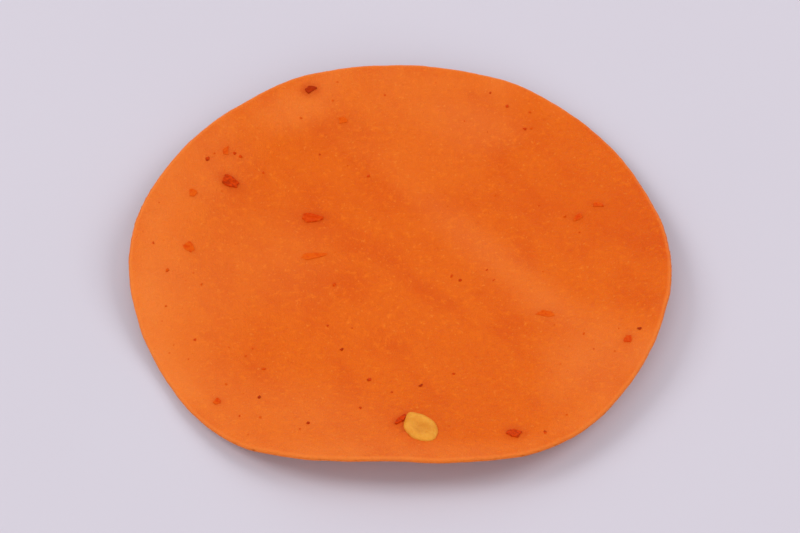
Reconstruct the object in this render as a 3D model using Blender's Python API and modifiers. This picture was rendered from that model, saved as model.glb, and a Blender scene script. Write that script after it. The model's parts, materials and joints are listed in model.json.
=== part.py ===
"""A raw rice papadum, as it is before frying: one thin round leaf of rice dough, pressed flat and
dried in the sun, so that its rim has lifted and turned a little wavy. A chilli seed and some
chilli flakes are pressed into its top. The leaf lies on the small flat spot at its middle, which
is at z = 0, and the box round it is centred on the Z axis. Metres, +Z up, the front towards -Y.
"""

import math

import bmesh
import bpy
from mathutils import Matrix, Vector

# The leaf.
LEAF_WIDTH = 0.0596
LEAF_THICKNESS = 0.0009
EDGE_ROUNDING = 0.00032
EDGE_SEGMENTS = 2
EDGE_ANGLE = math.radians(50.0)

# The leaf's outline is a circle with waves round it. Each row is the number of waves, their
# height as a share of the mean radius, and the direction of one crest in degrees from +X.
OUTLINE_WAVES = (
    (2, 0.0220, 1.0),
    (3, 0.0135, -45.0),
    (4, 0.0080, -38.0),
    (5, 0.0065, 20.0),
    (6, 0.0100, -2.4),
)
OUTLINE_STEPS = 720

# The middle stays flat. Outside it, drying lifts the leaf by RIM_LIFT at the rim and bends it in
# waves. Each row is the number of waves, their height and the direction of one crest in degrees.
FLAT_RADIUS = 0.0060
RIM_LIFT = 0.0026
RIM_WAVES = (
    (2, 0.0011, -52.0),
    (3, 0.0006, 20.0),
    (4, 0.0006, -9.0),
)

# The leaf is meshed as a six-sided web of equal triangles, stretched round.
WEB_SIDES = 6
WEB_RINGS = 24
WEB_FIRST_CORNER = math.radians(30.0)
WEB_SIDE_ANGLE = math.tau / WEB_SIDES

# What is pressed into the top. Each row is a name, the place across and along, the length, the
# width, the direction of the length in degrees, and how far it stands out of the leaf.
TOPPINGS = (
    ("chilli_seed", 0.0019, -0.0222, 0.0050, 0.0035, -60.0, 0.00045),
    ("seed_tip", -0.0002, -0.0206, 0.0022, 0.0011, 50.0, 0.00026),
    ("dark_flake_left", -0.0190, 0.0118, 0.0022, 0.0013, -34.0, 0.00022),
    ("dark_flake_middle", -0.0099, 0.0080, 0.0024, 0.0013, 4.0, 0.00022),
    ("red_flake_back", -0.0103, 0.0244, 0.0015, 0.0012, 20.0, 0.00018),
    ("red_flake_front", 0.0120, -0.0228, 0.0017, 0.0015, -15.0, 0.00018),
    ("thin_flake_middle", -0.0097, 0.0030, 0.0030, 0.0009, 12.0, 0.00016),
    ("thin_flake_right", 0.0154, -0.0055, 0.0026, 0.0010, -6.0, 0.00016),
    ("small_flake_rim", -0.0195, 0.0156, 0.0013, 0.0010, 70.0, 0.00016),
    ("small_flake_left", -0.0230, 0.0100, 0.0014, 0.0010, 15.0, 0.00016),
    ("small_flake_side", -0.0234, 0.0030, 0.0015, 0.0011, -60.0, 0.00016),
    ("small_flake_back", -0.0067, 0.0208, 0.0013, 0.0011, 35.0, 0.00016),
    ("small_flake_right", 0.0214, 0.0094, 0.0014, 0.0010, -25.0, 0.00016),
    ("small_flake_inner", 0.0192, 0.0080, 0.0013, 0.0010, 40.0, 0.00016),
    ("small_flake_corner", 0.0244, -0.0102, 0.0012, 0.0009, 65.0, 0.00016),
    ("small_flake_front", -0.0200, -0.0173, 0.0012, 0.0009, -20.0, 0.00016),
)
TOPPING_SEGMENTS = 6
TOPPING_RINGS = 4
TOPPING_DEPTH = 0.00045

# The looks. Colours are linear, red, green, blue and alpha.
DOUGH_COLOUR = (0.78, 0.16, 0.027, 1.0)
DOUGH_ROUGHNESS = 0.55
SEED_COLOUR = (0.80, 0.36, 0.070, 1.0)
SEED_ROUGHNESS = 0.45
FLAKE_COLOUR = (0.30, 0.022, 0.004, 1.0)
FLAKE_ROUGHNESS = 0.60
SMOOTH_ANGLE = math.radians(40.0)


def clear_scene():
    """Removes whatever the file holds."""
    for thing in list(bpy.data.objects):
        bpy.data.objects.remove(thing, do_unlink=True)


def make_material(name, colour, roughness):
    """A plain, non-metallic surface."""
    material = bpy.data.materials.new(name)
    material.use_nodes = True
    shader = material.node_tree.nodes["Principled BSDF"]
    shader.inputs["Base Color"].default_value = colour
    shader.inputs["Roughness"].default_value = roughness
    shader.inputs["Metallic"].default_value = 0.0
    return material


def rim_distance(angle):
    """The outline's distance from the centre, with a mean of 1."""
    distance = 1.0
    for count, height, crest in OUTLINE_WAVES:
        distance += height * math.cos(count * (angle - math.radians(crest)))
    return distance


def mean_radius():
    """The mean radius that gives the leaf its width."""
    angles = [math.tau * step / OUTLINE_STEPS for step in range(OUTLINE_STEPS)]
    across = [math.cos(angle) * rim_distance(angle) for angle in angles]
    return LEAF_WIDTH / (max(across) - min(across))


LEAF_RADIUS = mean_radius()


def leaf_height(x, y):
    """The height of the leaf's underside over the point x, y."""
    angle = math.atan2(y, x)
    rim = LEAF_RADIUS * rim_distance(angle)
    reach = max(math.hypot(x, y) - FLAT_RADIUS, 0.0) / (rim - FLAT_RADIUS)
    height = RIM_LIFT * reach**2
    for count, wave, crest in RIM_WAVES:
        height += wave * reach**count * math.cos(count * (angle - math.radians(crest)))
    return height


def stretch_round(point):
    """The place in the leaf of a point of the six-sided web, whose rings become the leaf's."""
    turned = math.atan2(point.y, point.x) - WEB_FIRST_CORNER
    side = math.floor(turned / WEB_SIDE_ANGLE)
    off_middle = turned - (side + 0.5) * WEB_SIDE_ANGLE
    ring = point.length * math.cos(off_middle) / math.cos(WEB_SIDE_ANGLE / 2)
    along = 0.5 + math.tan(off_middle) / (2.0 * math.tan(WEB_SIDE_ANGLE / 2))
    angle = WEB_FIRST_CORNER + (side + along) * WEB_SIDE_ANGLE
    distance = ring * LEAF_RADIUS * rim_distance(angle)
    x = distance * math.cos(angle)
    y = distance * math.sin(angle)
    return Vector((x, y, leaf_height(x, y)))


def make_leaf(collection, material):
    """The leaf: its underside as an open sheet, thickened upwards, with a rounded rim."""
    web = bmesh.new()
    bmesh.ops.create_circle(web, cap_ends=True, cap_tris=True, segments=WEB_SIDES, radius=1.0)
    bmesh.ops.subdivide_edges(web, edges=web.edges[:], cuts=WEB_RINGS - 1, use_grid_fill=True)
    for vertex in web.verts:
        vertex.co = stretch_round(vertex.co)
    mesh = bpy.data.meshes.new("papadum")
    web.to_mesh(mesh)
    web.free()
    mesh.materials.append(material)
    leaf = bpy.data.objects.new("papadum", mesh)
    collection.objects.link(leaf)

    body = leaf.modifiers.new("thickness", "SOLIDIFY")
    body.thickness = LEAF_THICKNESS
    body.offset = 1.0
    body.use_even_offset = True
    rim = leaf.modifiers.new("rim", "BEVEL")
    rim.width = EDGE_ROUNDING
    rim.segments = EDGE_SEGMENTS
    rim.limit_method = "ANGLE"
    rim.angle_limit = EDGE_ANGLE
    return leaf


def make_topping(collection, material, name, x, y, length, width, direction, rise):
    """A seed or a flake: a flattened ball that lies along the leaf's slope, half sunk in its top."""
    step = width / 2.0
    slope_x = (leaf_height(x + step, y) - leaf_height(x - step, y)) / (2.0 * step)
    slope_y = (leaf_height(x, y + step) - leaf_height(x, y - step)) / (2.0 * step)
    upright = Vector((-slope_x, -slope_y, 1.0)).normalized()
    top = Vector((x, y, leaf_height(x, y))) + upright * LEAF_THICKNESS

    half_height = (rise + TOPPING_DEPTH) / 2.0
    size = Matrix.Diagonal((length / 2.0, width / 2.0, half_height, 1.0))
    turn = Matrix.Rotation(math.radians(direction), 4, "Z")
    lean = Vector((0.0, 0.0, 1.0)).rotation_difference(upright).to_matrix().to_4x4()
    place = Matrix.Translation(top + upright * (rise - half_height))

    ball = bmesh.new()
    bmesh.ops.create_uvsphere(ball, u_segments=TOPPING_SEGMENTS, v_segments=TOPPING_RINGS, radius=1.0)
    bmesh.ops.transform(ball, matrix=place @ lean @ turn @ size, verts=ball.verts)
    mesh = bpy.data.meshes.new(name)
    ball.to_mesh(mesh)
    ball.free()
    mesh.materials.append(material)
    collection.objects.link(bpy.data.objects.new(name, mesh))


def fuse(leaf, toppings):
    """Joins the leaf and what is pressed into it as one solid, and drops the loose copies."""
    union = leaf.modifiers.new("pressed_in", "BOOLEAN")
    union.operation = "UNION"
    union.operand_type = "COLLECTION"
    union.collection = toppings
    union.solver = "EXACT"
    union.material_mode = "TRANSFER"
    bpy.context.view_layer.update()
    whole = leaf.evaluated_get(bpy.context.evaluated_depsgraph_get())
    mesh = bpy.data.meshes.new_from_object(whole)
    leaf.modifiers.clear()
    leaf.data = mesh
    mesh.name = leaf.name
    for topping in list(toppings.objects):
        bpy.data.objects.remove(topping, do_unlink=True)
    bpy.data.collections.remove(toppings)


def centre_on_axis(leaf):
    """Shifts the mesh sideways, so that the box round it is centred on the Z axis."""
    xs = [vertex.co.x for vertex in leaf.data.vertices]
    ys = [vertex.co.y for vertex in leaf.data.vertices]
    middle = Vector(((min(xs) + max(xs)) / 2.0, (min(ys) + max(ys)) / 2.0, 0.0))
    leaf.data.transform(Matrix.Translation(-middle))


clear_scene()
papadum_parts = bpy.data.collections.new("rice_papadum")
bpy.context.scene.collection.children.link(papadum_parts)
pressed_in = bpy.data.collections.new("pressed_in")
bpy.context.scene.collection.children.link(pressed_in)

dough = make_material("dried_rice_dough", DOUGH_COLOUR, DOUGH_ROUGHNESS)
seed_skin = make_material("chilli_seed", SEED_COLOUR, SEED_ROUGHNESS)
flake_skin = make_material("chilli_flake", FLAKE_COLOUR, FLAKE_ROUGHNESS)

papadum = make_leaf(papadum_parts, dough)
for row in TOPPINGS:
    make_topping(pressed_in, seed_skin if row[0] == "chilli_seed" else flake_skin, *row)
fuse(papadum, pressed_in)
centre_on_axis(papadum)
papadum.data.shade_smooth()
papadum.data.set_sharp_from_angle(angle=SMOOTH_ANGLE)
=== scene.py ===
"""The looks of a raw rice papadum, lying on a pale table in soft studio light. Metres, +Z up."""

import json
import math
import random

import bmesh
import bpy
from mathutils import Matrix, Vector

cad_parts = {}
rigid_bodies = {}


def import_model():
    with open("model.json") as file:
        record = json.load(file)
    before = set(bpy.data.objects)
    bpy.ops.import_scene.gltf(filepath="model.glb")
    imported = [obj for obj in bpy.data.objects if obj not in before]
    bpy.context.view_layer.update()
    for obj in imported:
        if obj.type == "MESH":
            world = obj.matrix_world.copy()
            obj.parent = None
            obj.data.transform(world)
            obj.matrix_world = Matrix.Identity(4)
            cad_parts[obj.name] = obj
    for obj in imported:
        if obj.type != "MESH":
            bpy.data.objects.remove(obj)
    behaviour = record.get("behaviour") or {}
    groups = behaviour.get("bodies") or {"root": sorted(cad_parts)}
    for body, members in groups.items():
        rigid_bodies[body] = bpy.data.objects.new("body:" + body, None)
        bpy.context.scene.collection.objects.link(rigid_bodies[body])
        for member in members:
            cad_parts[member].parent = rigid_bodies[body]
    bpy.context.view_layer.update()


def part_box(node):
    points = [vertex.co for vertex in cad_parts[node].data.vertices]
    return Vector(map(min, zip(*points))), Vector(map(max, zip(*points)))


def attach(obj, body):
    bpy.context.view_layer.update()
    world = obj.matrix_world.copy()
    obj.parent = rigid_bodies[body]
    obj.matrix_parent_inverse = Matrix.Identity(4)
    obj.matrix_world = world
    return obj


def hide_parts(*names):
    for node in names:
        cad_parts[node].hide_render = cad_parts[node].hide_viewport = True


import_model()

# The leaf of dough.
# Rice flour, water, salt and ground chilli, cooked to a paste, pressed into a thin round leaf and
# dried in the sun, which lifts its rim in slow waves. It lies on the flat spot at its middle.

leaf_low, leaf_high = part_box("papadum")
leaf_width = leaf_high.x - leaf_low.x
leaf_thickness = 0.0009
flat_radius = 0.0060
rim_lift = 0.0026
edge_rounding = 0.00034
edge_thinning = 0.00024
thinning_width = 0.0060
edge_unevenness = 0.0006
unevenness_scale = 4.0
unevenness_fade = 6.0
web_sides = 6
web_rings = 104
edge_rings = 10
weld_distance = 0.000002

# The low relief. A scale is in features to a metre. The swells begin at the edge of the flat spot,
# and are whole from swell_whole_from outwards, in flat radii. A reach is how far out something has
# an effect, in half sizes of its oval, whose own edge is at 1.
swell_height = 0.0006
swell_scale = 95.0
swell_whole_from = 2.4
fold_reach = 1.6
push_reach = 2.1
push_share = 0.55
thing_edge = 0.8
pit_scale = 800.0
pit_level = 0.72
grain_depth = 0.00007
zone_reach = 1.7
stain_reach = 2.3

# Each row is a number of waves round the leaf, their height, and one crest's direction in degrees.
# The outline's heights are shares of the mean radius, and the rim's are real.
outline_waves = (
    (2, 0.0220, 1.0),
    (3, 0.0135, -45.0),
    (4, 0.0080, -38.0),
    (5, 0.0065, 20.0),
    (6, 0.0100, -2.4),
)
rim_waves = (
    (2, 0.0011, -52.0),
    (3, 0.0006, 20.0),
    (4, 0.0006, -9.0),
)

# What is pressed into the leaf: place across and along, length, width, direction of the length in
# degrees, how far it stands out, which of the flake shapes it has, and its tone, from 0 for dark
# brown to 1 for the dough's own orange. The seed comes first. Places are from the outline's middle.
pressed_in = (
    (0.0019, -0.0222, 0.0050, 0.0035, -60.0, 0.00045, 0, 0.80),
    (-0.0002, -0.0206, 0.0020, 0.0009, 50.0, 0.00026, 1, 0.32),
    (-0.0190, 0.0118, 0.0022, 0.0013, -34.0, 0.00022, 0, 0.30),
    (-0.0099, 0.0080, 0.0024, 0.0013, 4.0, 0.00022, 2, 0.52),
    (-0.0103, 0.0244, 0.0015, 0.0012, 20.0, 0.00018, 3, 0.02),
    (0.0120, -0.0228, 0.0017, 0.0015, -15.0, 0.00018, 1, 0.30),
    (-0.0097, 0.0030, 0.0030, 0.0009, 12.0, 0.00012, 2, 0.92),
    (0.0154, -0.0055, 0.0026, 0.0010, -6.0, 0.00012, 4, 0.85),
    (-0.0195, 0.0156, 0.0013, 0.0010, 70.0, 0.00012, 3, 0.80),
    (-0.0230, 0.0100, 0.0014, 0.0010, 15.0, 0.00012, 5, 0.92),
    (-0.0234, 0.0030, 0.0015, 0.0011, -60.0, 0.00012, 0, 0.80),
    (-0.0067, 0.0208, 0.0013, 0.0011, 35.0, 0.00012, 4, 0.92),
    (0.0214, 0.0094, 0.0014, 0.0010, -25.0, 0.00012, 3, 0.70),
    (0.0192, 0.0080, 0.0013, 0.0010, 40.0, 0.00012, 1, 0.62),
    (0.0244, -0.0102, 0.0012, 0.0009, 65.0, 0.00012, 0, 0.60),
    (-0.0200, -0.0173, 0.0012, 0.0009, -20.0, 0.00012, 5, 0.70),
)
# Faint folds that drying left: place, length, width, direction in degrees, and height.
soft_folds = (
    (0.0100, 0.0025, 0.0240, 0.0044, -47.0, 0.00018),
    (0.0170, 0.0100, 0.0140, 0.0060, -50.0, -0.00012),
    (-0.0060, -0.0120, 0.0130, 0.0060, -30.0, -0.00010),
)
# Where the dough is paler, above 0, or deeper, below 0: place, length, width, direction in degrees,
# and strength. The first rows are along the rim. Part of it is dough that dried paler or stayed
# deeper, and part is painted light and painted shade.
drying_and_shading_zones = (
    # The left rim lighter and the right rim darker: painted light and painted shade, with some drying.
    (-0.0275, 0.0005, 0.0250, 0.0068, 88.0, 0.34),
    (-0.0215, -0.0155, 0.0130, 0.0070, -48.0, 0.16),
    (-0.0020, -0.0255, 0.0240, 0.0050, 0.0, 0.14),
    # Painted shade: the right rim darker than the left.
    (0.0275, 0.0010, 0.0210, 0.0080, 90.0, -0.36),
    (0.0205, 0.0185, 0.0170, 0.0070, -45.0, -0.28),
    (0.0000, 0.0245, 0.0200, 0.0070, 0.0, 0.24),
    (-0.0118, 0.0216, 0.0090, 0.0040, 27.0, 0.42),
    (-0.0215, 0.0125, 0.0120, 0.0060, 50.0, 0.28),
    (-0.0235, -0.0040, 0.0280, 0.0120, 80.0, 0.34),
    (0.0200, -0.0125, 0.0165, 0.0098, 50.0, 0.44),
    # Painted highlight along the ridge of the first soft fold.
    (0.0098, 0.0028, 0.0240, 0.0046, -47.0, 0.34),
    (0.0158, -0.0045, 0.0070, 0.0045, -20.0, 0.22),
    (-0.0105, -0.0200, 0.0220, 0.0100, -20.0, 0.32),
    (-0.0130, 0.0020, 0.0130, 0.0100, 80.0, 0.22),
    (0.0085, 0.0205, 0.0110, 0.0060, -10.0, 0.28),
    (0.0000, 0.0180, 0.0280, 0.0110, 0.0, 0.13),
    # Painted shade in the dip of the second soft fold.
    (0.0175, 0.0107, 0.0150, 0.0090, -50.0, -0.40),
    (0.0087, -0.0120, 0.0150, 0.0075, -30.0, -0.30),
    (-0.0077, 0.0130, 0.0120, 0.0065, -35.0, -0.25),
    # Painted shadow near the right rim, darker and redder.
    (0.0240, 0.0078, 0.0080, 0.0070, -60.0, -0.36),
    (0.0090, -0.0195, 0.0110, 0.0070, -10.0, -0.22),
)


def wave_points(steps=720):
    """The outline's points for a mean radius of 1."""
    points = []
    for step in range(steps):
        angle = math.tau * step / steps
        distance = 1.0
        for count, height, crest in outline_waves:
            distance += height * math.cos(count * (angle - math.radians(crest)))
        points.append((distance * math.cos(angle), distance * math.sin(angle)))
    return points


across, along = zip(*wave_points())
leaf_radius = leaf_width / (max(across) - min(across))
leaf_centre = Vector((max(across) + min(across), max(along) + min(along), 0.0)) * leaf_radius / 2


def add_node(tree, kind, inputs=None, **settings):
    """Adds a node, sets its options, and links or sets its inputs, which go by name or number."""
    node = tree.nodes.new(kind)
    for name, value in settings.items():
        setattr(node, name, value)
    for socket, value in (inputs or {}).items():
        if isinstance(value, bpy.types.NodeSocket):
            tree.links.new(value, node.inputs[socket])
        else:
            node.inputs[socket].default_value = value
    return node


def calc(tree, operation, *terms):
    """A sum, product or other calculation on numbers."""
    return add_node(tree, "ShaderNodeMath", dict(enumerate(terms)), operation=operation).outputs[0]


def product(tree, *terms):
    """All the terms multiplied."""
    whole = terms[0]
    for term in terms[1:]:
        whole = calc(tree, "MULTIPLY", whole, term)
    return whole


def noise(tree, place, scale, detail=2.0, roughness=0.5):
    """Cloudy noise, about 0.5, with scale features to each unit of place."""
    return add_node(tree, "ShaderNodeTexNoise", {
        "Vector": place, "Scale": scale, "Detail": detail, "Roughness": roughness,
    }).outputs[0]


def ramp(tree, value, low, high, start=0.0, end=1.0):
    """Turns low to high of a value softly into start to end, and holds it there beyond."""
    return add_node(tree, "ShaderNodeMapRange", {
        0: value, 1: low, 2: high, 3: start, 4: end,
    }, interpolation_type="SMOOTHSTEP").outputs[0]


def scaled(tree, vector, size):
    """A vector made longer or shorter."""
    longer = add_node(tree, "ShaderNodeVectorMath", {0: vector, "Scale": size}, operation="SCALE")
    return longer.outputs[0]


def length(tree, vector):
    """How long a vector is."""
    return add_node(tree, "ShaderNodeVectorMath", {0: vector}, operation="LENGTH").outputs["Value"]


def moved(tree, shape, offset):
    """A shape whose points are shifted."""
    return add_node(tree, "GeometryNodeSetPosition", {"Geometry": shape, "Offset": offset}).outputs[0]


def stored(tree, shape, name, value, kind="FLOAT"):
    """A shape whose points keep a named value."""
    return add_node(tree, "GeometryNodeStoreNamedAttribute", {
        "Geometry": shape, "Name": name, "Value": value}, data_type=kind, domain="POINT").outputs[0]


def kept(tree, name, kind="FLOAT"):
    """A named value that a shape's points keep."""
    return add_node(tree, "GeometryNodeInputNamedAttribute", {0: name}, data_type=kind).outputs[0]


def shape_tree(name, inputs):
    """An empty tree that turns a mesh into a mesh. inputs gives each further input its kind."""
    tree = bpy.data.node_groups.new(name, "GeometryNodeTree")
    tree.interface.new_socket("Geometry", in_out="INPUT", socket_type="NodeSocketGeometry")
    for label, kind in inputs.items():
        tree.interface.new_socket(label, in_out="INPUT", socket_type="NodeSocket" + kind)
    tree.interface.new_socket("Geometry", in_out="OUTPUT", socket_type="NodeSocketGeometry")
    return tree, tree.nodes.new("NodeGroupInput").outputs


def close_tree(tree, shape, material):
    """Ends a tree: its instances become real mesh, with their material."""
    whole = add_node(tree, "GeometryNodeRealizeInstances", {0: shape}).outputs[0]
    dressed = add_node(tree, "GeometryNodeSetMaterial", {"Geometry": whole, "Material": material})
    add_node(tree, "NodeGroupOutput", {0: dressed.outputs[0]})


def run_tree(piece, tree, values):
    """Runs a tree on a piece, with its named inputs, and makes what it gives the piece's own mesh."""
    modifier = piece.modifiers.new(tree.name, "NODES")
    modifier.node_group = tree
    for item in tree.interface.items_tree:
        if item.in_out == "INPUT" and item.name in values:
            modifier[item.identifier] = values[item.name]
    whole = piece.evaluated_get(bpy.context.evaluated_depsgraph_get())
    mesh = bpy.data.meshes.new_from_object(whole)
    piece.modifiers.clear()
    piece.data = mesh
    mesh.name = piece.name


def bent_leaf_tree():
    """Stretches a flat round web to the leaf's outline, bends it, and gives it two skins."""
    tree, given = shape_tree("bent_leaf", {
        "Leaf Radius": "Float", "Flat Radius": "Float", "Rim Lift": "Float", "Thickness": "Float",
        "Edge Thinning": "Float", "Edge Rounding": "Float", "Edge Unevenness": "Float",
        "Dough": "Material",
    })
    place = add_node(tree, "GeometryNodeInputPosition").outputs[0]
    flat = add_node(tree, "ShaderNodeSeparateXYZ", {0: place}).outputs
    turn = calc(tree, "ARCTAN2", flat[1], flat[0])
    ring = length(tree, place)

    share = 1.0
    for count, height, crest in outline_waves:
        swing = calc(tree, "MULTIPLY_ADD", turn, float(count), -count * math.radians(crest))
        share = calc(tree, "MULTIPLY_ADD", calc(tree, "COSINE", swing), height, share)
    inner_share = 1.0 - edge_rings / web_rings
    inward = calc(tree, "MINIMUM", calc(tree, "DIVIDE", ring, inner_share), 1.0)
    direction = add_node(tree, "ShaderNodeVectorMath", {0: place}, operation="NORMALIZE").outputs[0]
    uneven = calc(tree, "SUBTRACT", noise(tree, direction, scale=unevenness_scale, detail=4.0), 0.5)
    nick = product(tree, uneven, given["Edge Unevenness"], calc(tree, "POWER", inward, unevenness_fade))
    rim = calc(tree, "MULTIPLY_ADD", share, given["Leaf Radius"], nick)

    rounding = calc(tree, "MAXIMUM", calc(tree, "SUBTRACT", ring, inner_share), 0.0)
    rounding = product(tree, rounding, math.pi / 2 / (1.0 - inner_share))
    inner_rim = calc(tree, "SUBTRACT", rim, given["Edge Rounding"])
    inner_gap = product(tree, inner_rim, calc(tree, "SUBTRACT", 1.0, inward))
    short_of_edge = calc(tree, "SUBTRACT", 1.0, calc(tree, "SINE", rounding))
    edge_gap = product(tree, given["Edge Rounding"], short_of_edge)
    gap = calc(tree, "ADD", inner_gap, edge_gap)

    distance = calc(tree, "SUBTRACT", rim, gap)
    past_flat = calc(tree, "MAXIMUM", calc(tree, "SUBTRACT", distance, given["Flat Radius"]), 0.0)
    reach = calc(tree, "DIVIDE", past_flat, calc(tree, "SUBTRACT", rim, given["Flat Radius"]))
    height = product(tree, reach, reach, given["Rim Lift"])
    for count, wave, crest in rim_waves:
        swing = calc(tree, "MULTIPLY_ADD", turn, float(count), -count * math.radians(crest))
        grown = product(tree, calc(tree, "POWER", reach, float(count)), wave)
        height = calc(tree, "MULTIPLY_ADD", calc(tree, "COSINE", swing), grown, height)

    bent = add_node(tree, "ShaderNodeCombineXYZ", {
        0: product(tree, distance, calc(tree, "COSINE", turn)),
        1: product(tree, distance, calc(tree, "SINE", turn)),
        2: height,
    }).outputs[0]
    web = stored(tree, given["Geometry"], "rim_gap", gap)
    web = stored(tree, web, "half_share", calc(tree, "COSINE", rounding))
    web = add_node(tree, "GeometryNodeSetPosition", {"Geometry": web, "Position": bent}).outputs[0]

    upright = add_node(tree, "GeometryNodeInputNormal").outputs[0]
    near_rim = ramp(tree, kept(tree, "rim_gap"), thinning_width, 0.0)
    thinned = product(tree, near_rim, given["Edge Thinning"])
    thickness = calc(tree, "SUBTRACT", given["Thickness"], thinned)
    half = product(tree, thickness, 0.5)
    above = calc(tree, "MULTIPLY_ADD", kept(tree, "half_share"), half, half)
    below = calc(tree, "SUBTRACT", thickness, above)
    top = moved(tree, web, scaled(tree, upright, above))
    bottom = moved(tree, web, scaled(tree, upright, below))
    bottom = add_node(tree, "GeometryNodeFlipFaces", {0: bottom}).outputs[0]
    both = add_node(tree, "GeometryNodeJoinGeometry", {0: bottom})
    tree.links.new(top, both.inputs[0])
    shell = add_node(tree, "GeometryNodeMergeByDistance", {
        "Geometry": both.outputs[0], "Distance": weld_distance}).outputs[0]
    close_tree(tree, shell, given["Dough"])
    return tree


def round_web(name):
    """A flat round web of even triangles, 1 in radius: a six-sided one whose rings are made round."""
    web = bmesh.new()
    bmesh.ops.create_circle(web, cap_ends=True, cap_tris=True, segments=web_sides, radius=1.0)
    bmesh.ops.subdivide_edges(web, edges=web.edges[:], cuts=web_rings - 1, use_grid_fill=True)
    side_angle = math.tau / web_sides
    first_corner = side_angle / 2
    for vertex in web.verts:
        turned = math.atan2(vertex.co.y, vertex.co.x) - first_corner
        side = math.floor(turned / side_angle)
        off_middle = turned - (side + 0.5) * side_angle
        ring = vertex.co.length * math.cos(off_middle) / math.cos(side_angle / 2)
        share = 0.5 + math.tan(off_middle) / (2.0 * math.tan(side_angle / 2))
        angle = first_corner + (side + share) * side_angle
        vertex.co = (ring * math.cos(angle), ring * math.sin(angle), 0.0)
    mesh = bpy.data.meshes.new(name)
    web.to_mesh(mesh)
    web.free()
    piece = bpy.data.objects.new(name, mesh)
    bpy.context.scene.collection.objects.link(piece)
    return piece


def on_leaf(x, y):
    """A place that is given from the outline's middle, in the part's own frame."""
    return x - leaf_centre.x, y - leaf_centre.y


def guide_points(name, rows):
    """Single points where things are pressed into the leaf, each with its row's values."""
    mesh = bpy.data.meshes.new(name)
    mesh.from_pydata([(*on_leaf(row[0], row[1]), 0.0) for row in rows], [], [])
    for column, label in enumerate(("length", "width", "turn", "rise", "kind", "tone"), start=2):
        values = [math.radians(row[column]) if label == "turn" else row[column] for row in rows]
        kind = "INT" if label == "kind" else "FLOAT"
        mesh.attributes.new(label, kind, "POINT").data.foreach_set("value", values)
    guide = bpy.data.objects.new(name, mesh)
    bpy.context.scene.collection.objects.link(guide)
    return guide


def oval_distance(tree, x, y, centre, long, wide, direction):
    """How far a place is from the middle of an oval: 1 on the oval itself."""
    off_x = calc(tree, "SUBTRACT", x, centre[0])
    off_y = calc(tree, "SUBTRACT", y, centre[1])
    cosine = calc(tree, "COSINE", direction)
    sine = calc(tree, "SINE", direction)
    forward = calc(tree, "ADD", product(tree, off_x, cosine), product(tree, off_y, sine))
    sideways = calc(tree, "SUBTRACT", product(tree, off_y, cosine), product(tree, off_x, sine))
    ends = calc(tree, "DIVIDE", product(tree, forward, 2.0), long)
    sides = calc(tree, "DIVIDE", product(tree, sideways, 2.0), wide)
    return calc(tree, "SQRT", calc(tree, "ADD", product(tree, ends, ends), product(tree, sides, sides)))


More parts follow.
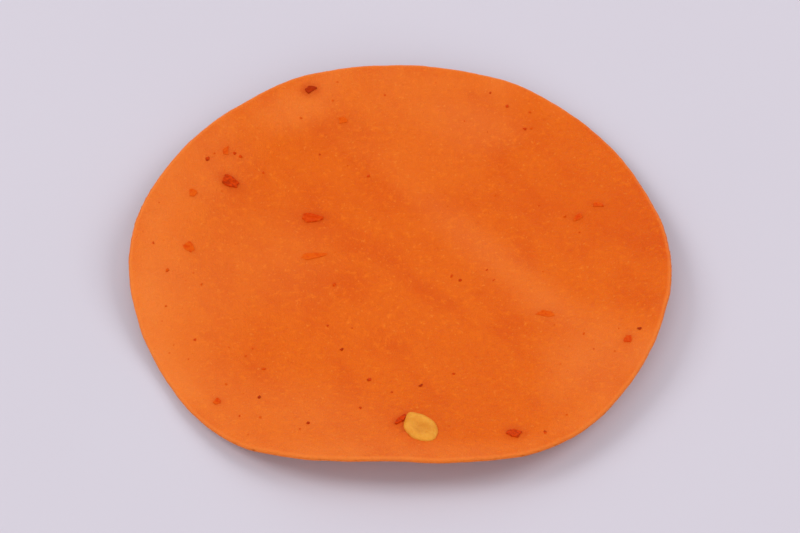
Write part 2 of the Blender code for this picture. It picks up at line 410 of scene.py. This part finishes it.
def dough_relief_tree():
    """Low relief: slow swells, soft folds, dough pushed up round what is pressed in, and pits."""
    tree, given = shape_tree("dough_relief", {
        "Pressed In": "Object", "Swell": "Float", "Grain": "Float", "Flat Radius": "Float",
        "Dough": "Material",
    })
    place = add_node(tree, "GeometryNodeInputPosition").outputs[0]
    spot = add_node(tree, "ShaderNodeSeparateXYZ", {0: place}).outputs
    upright = add_node(tree, "GeometryNodeInputNormal").outputs[0]
    facing_up = add_node(tree, "ShaderNodeSeparateXYZ", {0: upright}).outputs[2]
    on_top = ramp(tree, facing_up, 0.3, 0.8)
    level = add_node(tree, "ShaderNodeCombineXYZ", {0: spot[0], 1: spot[1]}).outputs[0]
    flat_radii = calc(tree, "DIVIDE", length(tree, level), given["Flat Radius"])
    off_flat = ramp(tree, flat_radii, 1.0, swell_whole_from)

    swell = calc(tree, "SUBTRACT", noise(tree, level, scale=swell_scale, roughness=0.4), 0.5)
    rise = product(tree, swell, given["Swell"], off_flat)
    for x, y, long, wide, direction, height in soft_folds:
        turn = math.radians(direction)
        out = oval_distance(tree, spot[0], spot[1], on_leaf(x, y), long, wide, turn)
        rise = calc(tree, "ADD", rise, ramp(tree, out, fold_reach, 0.0, end=height))

    things = add_node(tree, "GeometryNodeObjectInfo", {"Object": given["Pressed In"]}).outputs["Geometry"]
    nearest = add_node(tree, "GeometryNodeSampleNearest", {
        "Geometry": things, "Sample Position": level}, domain="POINT").outputs[0]

    def of_nearest(value, kind="FLOAT"):
        """A value of the nearest thing that is pressed in."""
        return add_node(tree, "GeometryNodeSampleIndex", {
            "Geometry": things, "Value": value, "Index": nearest,
        }, data_type=kind, domain="POINT").outputs[0]

    centre = add_node(tree, "ShaderNodeSeparateXYZ", {0: of_nearest(place, "FLOAT_VECTOR")}).outputs
    out = oval_distance(tree, spot[0], spot[1], centre, of_nearest(kept(tree, "length")),
                        of_nearest(kept(tree, "width")), of_nearest(kept(tree, "turn")))
    push = ramp(tree, out, push_reach, thing_edge, end=push_share)
    rise = calc(tree, "ADD", rise, product(tree, push, of_nearest(kept(tree, "rise")), on_top))

    pits = calc(tree, "SUBTRACT", noise(tree, place, scale=pit_scale, detail=3.0), pit_level)
    grain = scaled(tree, upright, product(tree, pits, given["Grain"]))
    lift = add_node(tree, "ShaderNodeCombineXYZ", {2: rise}).outputs[0]
    shift = add_node(tree, "ShaderNodeVectorMath", {0: grain, 1: lift}, operation="ADD").outputs[0]

    # Paler and deeper patches: partly drier dough, partly painted light and painted shade.
    dryness = 0.0
    for x, y, long, wide, direction, strength in drying_and_shading_zones:
        turn = math.radians(direction)
        out_zone = oval_distance(tree, spot[0], spot[1], on_leaf(x, y), long, wide, turn)
        dryness = calc(tree, "ADD", dryness, ramp(tree, out_zone, zone_reach, 0.0, end=strength))
    darkness = calc(tree, "SUBTRACT", 1.0, of_nearest(kept(tree, "tone")))
    stain = product(tree, ramp(tree, out, stain_reach, thing_edge), darkness, on_top)
    shape = stored(tree, given["Geometry"], "dryness", dryness)
    shape = stored(tree, shape, "oil_stain", stain)
    close_tree(tree, moved(tree, shape, shift), given["Dough"])
    return tree


def display_colour(red, green, blue):
    """A colour as it should look on screen, 0 to 255, in the linear values that shaders take."""
    shares = [level / 255 for level in (red, green, blue)]
    linear = [((share + 0.055) / 1.055) ** 2.4 if share > 0.04045 else share / 12.92 for share in shares]
    return (*linear, 1.0)


def mix_colours(tree, share, first, second):
    """One colour going over into another."""
    return add_node(tree, "ShaderNodeMix", {0: share, 6: first, 7: second}, data_type="RGBA").outputs[2]


def own_value(tree, name):
    """A value that the shape's own tree left in its mesh."""
    return add_node(tree, "ShaderNodeAttribute", attribute_name=name).outputs["Fac"]


def new_finish(name):
    """A material with its tree, its shader and a place in millimetres."""
    material = bpy.data.materials.new(name)
    material.use_nodes = True
    tree = material.node_tree
    shader = tree.nodes["Principled BSDF"]
    place = add_node(tree, "ShaderNodeTexCoord").outputs["Object"]
    millimetres = add_node(tree, "ShaderNodeMapping", {
        "Vector": place, "Scale": (1000.0, 1000.0, 1000.0)}).outputs[0]
    return material, tree, shader, millimetres


def press_bump(tree, shader, height):
    """Fine relief that only the shading shows, from its height in millimetres."""
    bump = add_node(tree, "ShaderNodeBump", {"Strength": 1.0, "Distance": 0.001, "Height": height})
    tree.links.new(bump.outputs[0], shader.inputs["Normal"])


def drawn_along(tree, place, direction, size):
    """A place whose pattern is stretched to a size along a direction and across it."""
    return add_node(tree, "ShaderNodeMapping", {
        "Vector": place, "Rotation": (0.0, 0.0, direction), "Scale": size,
    }, vector_type="TEXTURE").outputs[0]


# The dough's finish: the clouds' and drying lines' sizes along, across and down, and the heights of
# the fine relief, all in millimetres.
streak_direction = math.radians(-50.0)
cloud_size = (9.0, 4.2, 4.2)
drying_line_size = (6.0, 0.5, 1.0)
fine_height = 0.190
grain_height = 0.110
drying_line_height = 0.040


def dried_dough():
    """Orange rice dough with ground chilli in it: clouded, drier and paler towards the rim, with paler
    and deeper patches that are partly painted light and painted shade.
    """
    material, tree, shader, place = new_finish("dried_dough")
    deep = display_colour(222, 86, 6)
    body = display_colour(230, 100, 11)
    light = display_colour(241, 115, 20)
    starch = display_colour(244, 138, 48)
    pale_dry_and_lit = display_colour(246, 132, 54)
    oil = display_colour(200, 56, 1)

    drawn_out = drawn_along(tree, place, streak_direction, cloud_size)
    clouds = noise(tree, drawn_out, scale=1.0, detail=3.0, roughness=0.5)
    fine = noise(tree, place, scale=1.5, detail=4.0, roughness=0.6)
    grain = noise(tree, place, scale=5.0, detail=3.0, roughness=0.65)
    flour = noise(tree, place, scale=2.9, detail=1.0)
    colour = mix_colours(tree, ramp(tree, clouds, 0.30, 0.62), deep, body)
    colour = mix_colours(tree, ramp(tree, fine, 0.50, 0.76, end=0.75), colour, light)
    colour = mix_colours(tree, ramp(tree, fine, 0.46, 0.22, end=0.75), colour, deep)
    colour = mix_colours(tree, ramp(tree, grain, 0.54, 0.80, end=0.80), colour, light)
    colour = mix_colours(tree, ramp(tree, grain, 0.44, 0.20, end=0.80), colour, deep)
    colour = mix_colours(tree, ramp(tree, flour, 0.66, 0.76, end=0.45), colour, starch)

    gap = own_value(tree, "rim_gap")
    dryness = own_value(tree, "dryness")
    patchy = ramp(tree, noise(tree, place, scale=0.22, detail=3.0), 0.3, 0.7, 0.35, 1.0)
    band = product(tree, ramp(tree, gap, 0.0040, 0.0002, end=0.36), patchy)
    # Patches paler or deeper than the dough: partly drying, partly painted light and painted shade.
    paleness = calc(tree, "ADD", band, dryness)
    colour = mix_colours(tree, ramp(tree, paleness, 0.0, -1.0), colour, deep)
    colour = mix_colours(tree, calc(tree, "MAXIMUM", paleness, 0.0), colour, pale_dry_and_lit)
    colour = mix_colours(tree, ramp(tree, gap, 0.0005, 0.0001, end=0.55), colour, pale_dry_and_lit)

    stain = product(tree, own_value(tree, "oil_stain"), ramp(tree, fine, 0.3, 0.7, 0.3, 0.7))
    colour = mix_colours(tree, stain, colour, oil)
    tree.links.new(colour, shader.inputs["Base Color"])
    tree.links.new(ramp(tree, fine, 0.3, 0.7, 0.40, 0.56), shader.inputs["Roughness"])

    lines = drawn_along(tree, place, streak_direction, drying_line_size)
    lines = noise(tree, lines, scale=1.0, detail=3.0, roughness=0.6)
    height = product(tree, fine, fine_height)
    height = calc(tree, "MULTIPLY_ADD", grain, grain_height, height)
    height = calc(tree, "MULTIPLY_ADD", lines, drying_line_height, height)
    press_bump(tree, shader, height)
    shader.inputs["Specular IOR Level"].default_value = 0.25
    shader.inputs["Specular Tint"].default_value = (1.0, 0.68, 0.30, 1.0)
    shader.inputs["Subsurface Weight"].default_value = 0.12
    shader.inputs["Subsurface Radius"].default_value = (1.0, 0.35, 0.10)
    shader.inputs["Subsurface Scale"].default_value = 0.0010
    return material


dough = dried_dough()
leaf = round_web("papadum_leaf")
run_tree(leaf, bent_leaf_tree(), {
    "Leaf Radius": leaf_radius, "Flat Radius": flat_radius, "Rim Lift": rim_lift,
    "Thickness": leaf_thickness, "Edge Thinning": edge_thinning, "Edge Rounding": edge_rounding,
    "Edge Unevenness": edge_unevenness, "Dough": dough,
})
leaf.data.transform(Matrix.Translation(-leaf_centre))
guide = guide_points("pressed_places", pressed_in)
run_tree(leaf, dough_relief_tree(), {
    "Pressed In": guide, "Swell": swell_height, "Grain": grain_depth, "Flat Radius": flat_radius,
    "Dough": dough,
})
bpy.data.objects.remove(guide, do_unlink=True)
leaf.data.shade_smooth()
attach(leaf, "root")
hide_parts("papadum")

# The chilli seed.
# One flat pale seed from the ground chilli, about 5 mm long: a rounded disc with a thicker rim and
# a small beak. It is pressed half its thickness into the dough, near the front.

drop_height = 0.02
seed_sides = 48
seed_rings = 28
seed_half_width = 0.48
seed_beak_direction = math.radians(176.0)
seed_beak_height = 0.07
seed_beak_width = 0.32
seed_notch_turn = 0.70
seed_notch_height = 0.035
seed_dish_height = 0.56
seed_dish_radius = 0.76
seed_depth = 1.2
seed_waves = ((5, 0.012, 1.0), (9, 0.008, 0.0))
seed_crease_height = 0.09
seed_pit_height = 0.04


def shape_store(name, meshes):
    """A collection of the shapes that are laid on the leaf, one object for each."""
    store = bpy.data.collections.new(name)
    bpy.context.scene.collection.children.link(store)
    for number, mesh in enumerate(meshes):
        store.objects.link(bpy.data.objects.new(f"{name}_{number}", mesh))
    return store


def lay_on_leaf_tree():
    """Drops shapes on the leaf at guide points, turned, sized and leaning with the leaf's slope."""
    tree, given = shape_tree("laid_on_leaf", {
        "Leaf": "Object", "Shapes": "Collection", "Drop Height": "Float", "Finish": "Material",
    })
    place = add_node(tree, "GeometryNodeInputPosition").outputs[0]
    drop = add_node(tree, "ShaderNodeCombineXYZ", {2: given["Drop Height"]}).outputs[0]
    over_leaf = add_node(tree, "ShaderNodeVectorMath", {0: place, 1: drop}, operation="ADD").outputs[0]
    surface = add_node(tree, "GeometryNodeObjectInfo", {"Object": given["Leaf"]}).outputs["Geometry"]
    hit = add_node(tree, "GeometryNodeRaycast", {
        "Target Geometry": surface, "Source Position": over_leaf,
        "Ray Direction": (0.0, 0.0, -1.0), "Ray Length": product(tree, given["Drop Height"], 2.0),
    }).outputs
    points = stored(tree, given["Geometry"], "slope", hit["Hit Normal"], "FLOAT_VECTOR")
    points = stored(tree, points, "spot", hit["Hit Position"], "FLOAT_VECTOR")
    points = add_node(tree, "GeometryNodeSetPosition", {
        "Geometry": points, "Position": kept(tree, "spot", "FLOAT_VECTOR")}).outputs[0]
    lean = add_node(tree, "FunctionNodeAlignRotationToVector", {
        "Vector": kept(tree, "slope", "FLOAT_VECTOR")}, axis="Z").outputs[0]
    turn = add_node(tree, "FunctionNodeAxisAngleToRotation", {
        "Axis": (0.0, 0.0, 1.0), "Angle": kept(tree, "turn")}).outputs[0]
    leaning = add_node(tree, "FunctionNodeRotateRotation", {
        0: lean, 1: turn}, rotation_space="LOCAL").outputs[0]
    size = add_node(tree, "ShaderNodeCombineXYZ", {
        0: kept(tree, "length"), 1: kept(tree, "width"), 2: kept(tree, "rise")}).outputs[0]
    shapes = add_node(tree, "GeometryNodeCollectionInfo", {
        "Collection": given["Shapes"], "Separate Children": True, "Reset Children": True}).outputs[0]
    laid = add_node(tree, "GeometryNodeInstanceOnPoints", {
        "Points": points, "Instance": shapes, "Pick Instance": True,
        "Instance Index": kept(tree, "kind", "INT"), "Rotation": leaning, "Scale": size,
    }).outputs[0]
    close_tree(tree, laid, given["Finish"])
    return tree


def lay_pieces(name, rows, meshes, finish):
    """Lays shapes on the leaf as one plain mesh, at each row's place."""
    piece = guide_points(name, rows)
    store = shape_store(name + "_shapes", meshes)
    run_tree(piece, lay_on_leaf, {
        "Leaf": leaf, "Shapes": store, "Drop Height": drop_height, "Finish": finish,
    })
    piece.data.shade_smooth()
    for shape in list(store.objects):
        bpy.data.objects.remove(shape, do_unlink=True)
    bpy.data.collections.remove(store)
    return piece


def seed_mesh():
    """A seed 1 long and 1 wide, whose top is 1 above the dough and whose underside is in it."""
    ball = bmesh.new()
    bmesh.ops.create_uvsphere(ball, u_segments=seed_sides, v_segments=seed_rings, radius=1.0)
    rim_shares = []
    for vertex in ball.verts:
        around = math.atan2(vertex.co.y, vertex.co.x)
        out = min(math.hypot(vertex.co.x, vertex.co.y), 1.0)
        off_beak = math.remainder(around - seed_beak_direction, math.tau)
        beak = seed_beak_height * math.exp(-((off_beak / seed_beak_width) ** 2))
        notch = seed_notch_height * math.exp(-(((off_beak - seed_notch_turn) / seed_beak_width) ** 2))
        outline = seed_half_width + beak - notch
        for count, wave, start in seed_waves:
            outline += wave * seed_half_width * math.sin(count * around + start)
        rim_share = math.sin(min(out / seed_dish_radius, 1.0) * math.pi / 2) ** 4
        dish = seed_dish_height + (1.0 - seed_dish_height) * rim_share
        height = math.sqrt(1.0 - out**4)
        above = vertex.co.z > 0.0
        vertex.co.x = out * outline * math.cos(around)
        vertex.co.y = out * outline * math.sin(around)
        vertex.co.z = height * dish if above else -seed_depth * height
        rim_shares.append(rim_share)
    mesh = bpy.data.meshes.new("seed")
    ball.to_mesh(mesh)
    ball.free()
    mesh.attributes.new("rim_share", "FLOAT", "POINT").data.foreach_set("value", rim_shares)
    return mesh


def seed_skin():
    """Straw coloured, slightly clear seed skin with fine pits, deeper in the middle of the disc."""
    material, tree, shader, place = new_finish("seed_skin")
    straw = display_colour(234, 158, 50)
    amber = display_colour(214, 128, 24)
    blotch = noise(tree, place, scale=0.9, detail=3.0, roughness=0.6)
    pits = noise(tree, place, scale=8.0, roughness=0.6)
    rim_share = own_value(tree, "rim_share")
    paleness = calc(tree, "MULTIPLY_ADD", rim_share, 0.60, ramp(tree, blotch, 0.35, 0.65, end=0.50))
    colour = mix_colours(tree, paleness, amber, straw)
    colour = mix_colours(tree, ramp(tree, pits, 0.45, 0.25, end=0.5), colour, amber)
    tree.links.new(colour, shader.inputs["Base Color"])
    creases = noise(tree, place, scale=2.6, detail=3.0)
    height = calc(tree, "MULTIPLY_ADD", creases, seed_crease_height, product(tree, pits, seed_pit_height))
    press_bump(tree, shader, height)
    shader.inputs["Roughness"].default_value = 0.42
    shader.inputs["Specular IOR Level"].default_value = 0.30
    shader.inputs["Specular Tint"].default_value = (1.0, 0.80, 0.50, 1.0)
    shader.inputs["Subsurface Weight"].default_value = 0.25
    shader.inputs["Subsurface Radius"].default_value = (1.0, 0.6, 0.3)
    shader.inputs["Subsurface Scale"].default_value = 0.0008
    return material


lay_on_leaf = lay_on_leaf_tree()
seed = lay_pieces("chilli_seed", pressed_in[:1], [seed_mesh()], seed_skin())
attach(seed, "root")
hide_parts("papadum")

# The chilli flakes.
# Thin crumpled chips of dried red chilli skin, 1 to 3 mm across, some dark from roasting. They lie
# flat in the top of the dough, which has risen round them and taken some of their red oil.

flake_shapes = 6
flake_corners = 5
flake_side_stray = 0.38
flake_side_nearest = 0.28
flake_side_furthest = 0.50
flake_corner_limit = 0.35
flake_half_length = 0.55
flake_depth = 1.4
flake_jags = 7.0
flake_jag_height = 0.045
flake_middle = 0.45
flake_fold_width = 0.16
flake_fold_stray = 0.25
flake_fold_height = 0.8
flake_crumple_height = 0.08
flake_draw = random.Random(5)


def flake_mesh(number):
    """A chip 1 long and 1 wide: jagged, with turned-up edges and a fold, its top 1 above the dough."""
    sides = []
    for corner in range(flake_corners):
        stray = flake_draw.uniform(-flake_side_stray, flake_side_stray)
        away = flake_draw.uniform(flake_side_nearest, flake_side_furthest)
        sides.append((math.tau * (corner + stray) / flake_corners, away))
    fold_turn = flake_draw.uniform(0.0, math.tau)
    fold_place = flake_draw.uniform(-flake_fold_stray, flake_fold_stray)
    jag_start = flake_draw.uniform(0.0, math.tau)
    ball = bmesh.new()
    bmesh.ops.create_icosphere(ball, subdivisions=4, radius=1.0)
    edge_shares = []
    for vertex in ball.verts:
        around = math.atan2(vertex.co.y, vertex.co.x)
        out = min(math.hypot(vertex.co.x, vertex.co.y), 1.0)
        outline = min(away / max(math.cos(around - direction), flake_corner_limit)
                      for direction, away in sides)
        jag = flake_jag_height * math.sin(flake_jags * around + jag_start) * out
        outline = min(outline, flake_half_length) * (1.0 + jag)
        across_fold = math.cos(around - fold_turn) * out - fold_place
        fold = math.exp(-((across_fold / flake_fold_width) ** 2))
        top = flake_middle + (1.0 - flake_middle) * max(out**3, flake_fold_height * fold)
        above = vertex.co.z > 0.0
        vertex.co.x = out * outline * math.cos(around)
        vertex.co.y = out * outline * math.sin(around)
        vertex.co.z = math.sqrt(1.0 - out**8) * (top if above else -flake_depth)
        edge_shares.append(out**5)
    mesh = bpy.data.meshes.new(f"flake_{number}")
    ball.to_mesh(mesh)
    ball.free()
    mesh.attributes.new("edge_share", "FLOAT", "POINT").data.foreach_set("value", edge_shares)
    return mesh


def chilli_skin():
    """Dried chilli skin, from dark brown to bright red. Dough covers the edges of the pale chips."""
    material, tree, shader, place = new_finish("chilli_skin")
    brown = display_colour(172, 44, 1)
    red = display_colour(216, 64, 1)
    bright = display_colour(227, 91, 9)
    covered = display_colour(232, 101, 18)
    blotch = noise(tree, place, scale=3.0, detail=4.0, roughness=0.65)
    tone = calc(tree, "ADD", own_value(tree, "tone"), ramp(tree, blotch, 0.3, 0.7, -0.24, 0.24))
    colour = mix_colours(tree, ramp(tree, tone, 0.0, 0.5), brown, red)
    colour = mix_colours(tree, ramp(tree, tone, 0.5, 1.0), colour, bright)
    patchy = ramp(tree, noise(tree, place, scale=2.0), 0.35, 0.65, 0.2, 1.0)
    near_edge = ramp(tree, own_value(tree, "edge_share"), 0.10, 0.80)
    film = product(tree, near_edge, ramp(tree, tone, 0.4, 0.9), patchy)
    colour = mix_colours(tree, film, colour, covered)
    tree.links.new(colour, shader.inputs["Base Color"])
    press_bump(tree, shader, product(tree, blotch, flake_crumple_height))
    shader.inputs["Roughness"].default_value = 0.5
    shader.inputs["Specular IOR Level"].default_value = 0.15
    shader.inputs["Specular Tint"].default_value = (1.0, 0.50, 0.20, 1.0)
    return material


chilli = chilli_skin()
chips = [flake_mesh(number) for number in range(flake_shapes)]
flakes = lay_pieces("chilli_flakes", pressed_in[1:], chips, chilli)
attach(flakes, "root")
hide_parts("papadum")

# The ground chilli.
# Specks of ground chilli, 0.1 to 0.6 mm, mixed through the dough. Those at its surface show on both
# faces as small red and brown dots that stand out by hardly more than a hair.

specks_each_square_metre = 78000.0
speck_smallest = 0.00010
speck_largest = 0.00042
speck_rim_gap = 0.0008
speck_table_gap = 0.00015
speck_rarity = 3.0
speck_stretch = (0.8, 1.5)
speck_flatness = 0.5
speck_roughness_scale = 4000.0
speck_palest_tone = 1.1
speck_darkening = (0.2, 1.3)
speck_seed = 11


def ground_chilli_tree():
    """Strews small rough grains over the leaf, sunk into its surface."""
    tree, given = shape_tree("ground_chilli", {
        "Leaf": "Object", "Density": "Float", "Smallest": "Float", "Largest": "Float",
        "Rim Gap": "Float", "Table Gap": "Float", "Seed": "Int", "Finish": "Material",
    })

    def draw(low, high, number):
        """A random value for each speck."""
        return add_node(tree, "FunctionNodeRandomValue", {
            2: low, 3: high, 8: number}, data_type="FLOAT").outputs[1]

    surface = add_node(tree, "GeometryNodeObjectInfo", {"Object": given["Leaf"]}).outputs["Geometry"]
    place = add_node(tree, "GeometryNodeInputPosition").outputs[0]
    above_table = add_node(tree, "ShaderNodeSeparateXYZ", {0: place}).outputs[2]
    inside = calc(tree, "MULTIPLY", calc(tree, "GREATER_THAN", kept(tree, "rim_gap"), given["Rim Gap"]),
                  calc(tree, "GREATER_THAN", above_table, given["Table Gap"]))
    strewn = add_node(tree, "GeometryNodeDistributePointsOnFaces", {
        "Mesh": surface, "Selection": inside, "Density": given["Density"], "Seed": given["Seed"],
    }, distribute_method="RANDOM").outputs
    rare_large = calc(tree, "POWER", draw(0.0, 1.0, 1), speck_rarity)
    points = stored(tree, strewn["Points"], "size", add_node(tree, "ShaderNodeMapRange", {
        0: rare_large, 3: given["Smallest"], 4: given["Largest"]}).outputs[0])
    darkness = product(tree, rare_large, draw(*speck_darkening, 2))
    points = stored(tree, points, "tone", calc(tree, "SUBTRACT", speck_palest_tone, darkness))
    grain = add_node(tree, "GeometryNodeMeshIcoSphere", {"Radius": 0.5, "Subdivisions": 2}).outputs[0]
    turn = add_node(tree, "FunctionNodeAxisAngleToRotation", {
        "Axis": (0.0, 0.0, 1.0), "Angle": draw(0.0, math.tau, 3)}).outputs[0]
    turned = add_node(tree, "FunctionNodeRotateRotation", {
        0: strewn["Rotation"], 1: turn}, rotation_space="LOCAL").outputs[0]
    form = add_node(tree, "ShaderNodeCombineXYZ", {
        0: draw(*speck_stretch, 4), 1: 1.0, 2: speck_flatness}).outputs[0]
    laid = add_node(tree, "GeometryNodeInstanceOnPoints", {
        "Points": points, "Instance": grain, "Rotation": turned,
        "Scale": scaled(tree, form, kept(tree, "size")),
    }).outputs[0]
    whole = add_node(tree, "GeometryNodeRealizeInstances", {0: laid}).outputs[0]
    rough = add_node(tree, "ShaderNodeTexNoise", {
        "Vector": place, "Scale": speck_roughness_scale, "Detail": 1.0}).outputs["Color"]
    rough = add_node(tree, "ShaderNodeVectorMath", {
        0: rough, 1: (0.5, 0.5, 0.5)}, operation="SUBTRACT").outputs[0]
    close_tree(tree, moved(tree, whole, scaled(tree, rough, kept(tree, "size"))), given["Finish"])
    return tree


specks = guide_points("ground_chilli", pressed_in[:1])
run_tree(specks, ground_chilli_tree(), {
    "Leaf": leaf, "Density": specks_each_square_metre, "Smallest": speck_smallest,
    "Largest": speck_largest, "Rim Gap": speck_rim_gap, "Table Gap": speck_table_gap,
    "Seed": speck_seed, "Finish": chilli,
})
specks.data.shade_smooth()
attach(specks, "root")
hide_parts("papadum")

# The table.
# A plain pale sheet of paper board, matt and very slightly lilac, on which the leaf lies.

table_size = 3.0
board_scale = 0.02
bpy.ops.mesh.primitive_plane_add(size=table_size)
table = bpy.context.object
table.name = "table"
board, tree, shader, place = new_finish("paper_board")
lilac = display_colour(207, 202, 212)
pale_lilac = display_colour(211, 206, 216)
shade = mix_colours(tree, noise(tree, place, board_scale, detail=3.0), lilac, pale_lilac)
tree.links.new(shade, shader.inputs["Base Color"])
shader.inputs["Roughness"].default_value = 0.9
shader.inputs["Specular IOR Level"].default_value = 0.1
table.data.materials.append(board)

# The light.
# Two large soft boxes at the sides, one in front, a weaker one behind, and a pale room.

room_colour = (0.97, 0.96, 1.0, 1.0)
room_strength = 0.44
lamp_colour = (1.0, 0.985, 0.99)
# Each row is a name, a place, the width of the box, and its power in watts.
soft_boxes = (
    ("soft_box_left", (-0.85, 0.20, 0.85), 0.60, 4.8),
    ("soft_box_right", (0.85, 0.20, 0.85), 0.70, 4.9),
    ("soft_box_back", (0.05, 1.00, 0.82), 1.00, 2.6),
    ("soft_box_front", (-0.20, -1.00, 0.72), 0.80, 4.4),
)

world = bpy.data.worlds.new("room")
bpy.context.scene.world = world
world.use_nodes = True
world.node_tree.nodes["Background"].inputs["Color"].default_value = room_colour
world.node_tree.nodes["Background"].inputs["Strength"].default_value = room_strength
for name, place, size, power in soft_boxes:
    lamp = bpy.data.lights.new(name, "AREA")
    lamp.size = size
    lamp.energy = power
    lamp.color = lamp_colour
    soft_box = bpy.data.objects.new(name, lamp)
    soft_box.location = place
    soft_box.rotation_euler = (-Vector(place)).to_track_quat("-Z", "Y").to_euler()
    bpy.context.scene.collection.objects.link(soft_box)

# The camera.
# It looks down at 52 degrees from 0.89 m away, with the leaf two thirds of the picture's width.

camera_distance = 0.89
camera_tilt = math.radians(52.0)
leaf_share_of_width = 0.68
aim = Vector((0.0, 0.0, (leaf_low.z + leaf_high.z) / 2))
view = bpy.data.cameras.new("camera")
view.sensor_width = 36.0
view.lens = view.sensor_width * camera_distance * leaf_share_of_width / leaf_width
view.clip_start = 0.01
camera = bpy.data.objects.new("camera", view)
camera.location = aim + Vector((0.0, -math.cos(camera_tilt), math.sin(camera_tilt))) * camera_distance
camera.rotation_euler = (aim - camera.location).to_track_quat("-Z", "Y").to_euler()
bpy.context.scene.collection.objects.link(camera)
bpy.context.scene.camera = camera
bpy.context.scene.view_settings.view_transform = "Standard"
